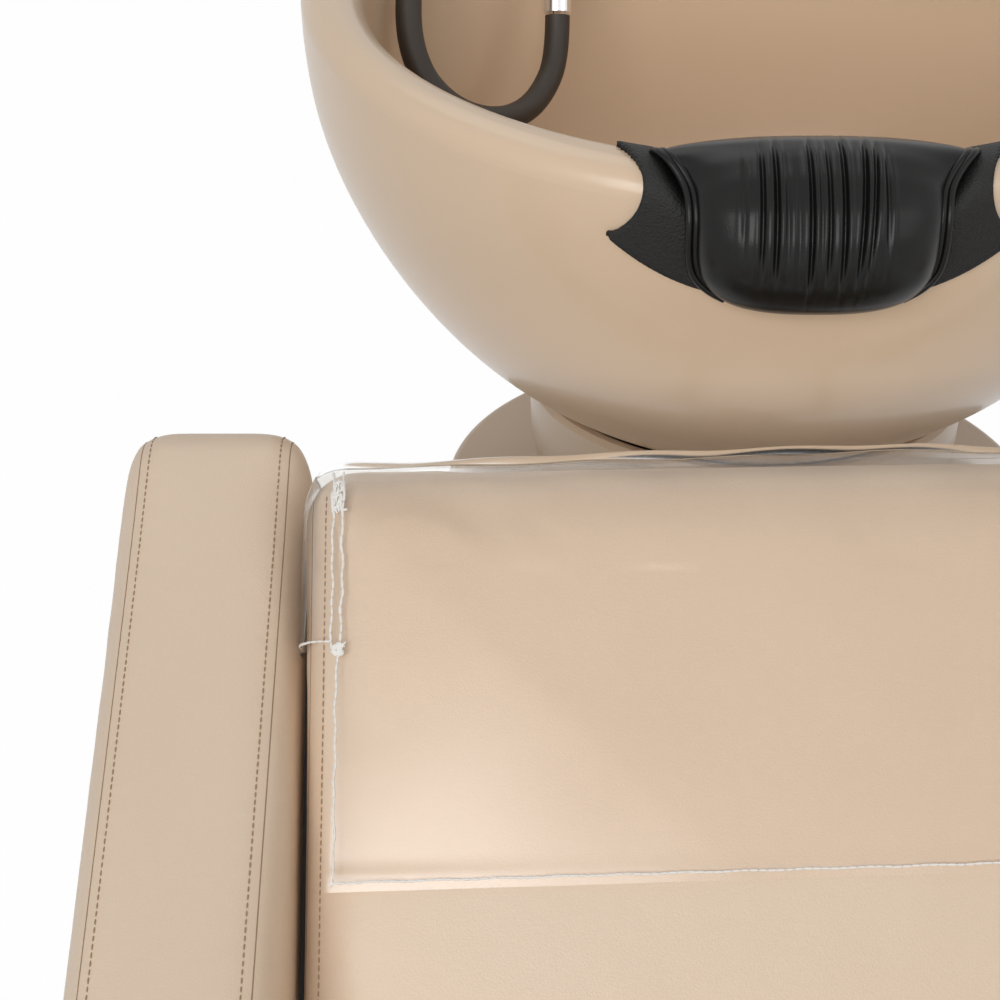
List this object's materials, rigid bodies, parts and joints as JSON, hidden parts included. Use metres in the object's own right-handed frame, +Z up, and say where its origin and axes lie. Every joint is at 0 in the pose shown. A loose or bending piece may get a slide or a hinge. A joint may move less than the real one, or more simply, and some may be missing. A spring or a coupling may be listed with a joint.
{
  "type": "backwash unit",
  "caption": "Salon backwash unit: a deep tilting basin with neck rest on a round pedestal, and a reclined upholstered chair in front.",
  "frame": {"origin": "on the floor, in the middle of the footprint", "axes": "+Y runs from the seat's front to the basin's back, +X across the chair, +Z up"},
  "size_m": [0.684, 1.3603, 1.1313],
  "materials": {
    "basin_gloss": "glossy",
    "pedestal_satin": "satin",
    "saddle_rubber": "matte pebbled",
    "pad_vinyl": "soft gloss, pleated",
    "chrome": "polished",
    "steel": "zinc plated",
    "frame_black": "powder coated",
    "leather": "fine grain",
    "plywood": "plain",
    "clear_pvc": "clear sheet",
    "hose_rubber": "matte",
    "waste_plastic": "plain",
    "foot_rubber": "plain"
  },
  "bodies": {
    "stand": {"tilt_bracket": "steel", "tilt_pins": "steel", "pedestal": "pedestal_satin", "access_panel": "pedestal_satin", "collar": "pedestal_satin", "waste_hose": "waste_plastic", "waste_spigot": "waste_plastic", "waste_strut": "steel", "seat_cushion": "leather", "seat_board": "plywood", "back_cushion": "leather", "back_board": "plywood", "back_support_left": "frame_black", "back_support_right": "frame_black", "clear_cover": "clear_pvc", "arm_left": "leather", "arm_right": "leather", "arm_brackets": "frame_black", "floor_rail_left": "frame_black", "floor_rail_right": "frame_black", "seat_rail_left": "frame_black", "seat_rail_right": "frame_black", "front_post_left": "frame_black", "front_post_right": "frame_black", "rear_post_left": "frame_black", "rear_post_right": "frame_black", "floor_cross_tube": "frame_black", "front_cross_tube": "frame_black", "rear_cross_tube": "frame_black", "mounting_plate": "frame_black", "levelling_feet": "foot_rubber"},
    "basin_unit": {"basin": "basin_gloss", "neck_saddle": "saddle_rubber", "neck_piping": "saddle_rubber", "neck_pad": "pad_vinyl", "tilt_rocker": "steel", "waste_flange": "chrome", "waste_strainer": "chrome", "waste_locknut": "waste_plastic", "tail_pipe": "waste_plastic", "mixer_body": "chrome", "hand_shower": "chrome", "shower_rose": "hose_rubber", "hose_union": "chrome", "hose_elbow": "chrome", "shower_holder": "chrome", "shower_hose": "hose_rubber"},
    "mixer_top": {"mixer_cap": "chrome"},
    "mixer_handle": {"mixer_lever": "chrome"}
  },
  "joints": [
    {"name": "basin_tilt", "type": "hinge", "parent": "stand", "child": "basin_unit", "pos_m": [0, 0.405, 0.965], "axis": [1, 0, 0], "range_deg": [-5, 7], "deforming": ["waste_hose"]},
    {"name": "mixer_turn", "type": "hinge", "parent": "basin_unit", "child": "mixer_top", "pos_m": [0.008, 0.644, 1.03616], "axis": [0, -0.1822, 0.9833], "range_deg": [-45, 45]},
    {"name": "mixer_lift", "type": "hinge", "parent": "mixer_top", "child": "mixer_handle", "pos_m": [0.008, 0.62113, 1.11751], "axis": [-1, 0, 0], "range_deg": [0, 25]}
  ]
}
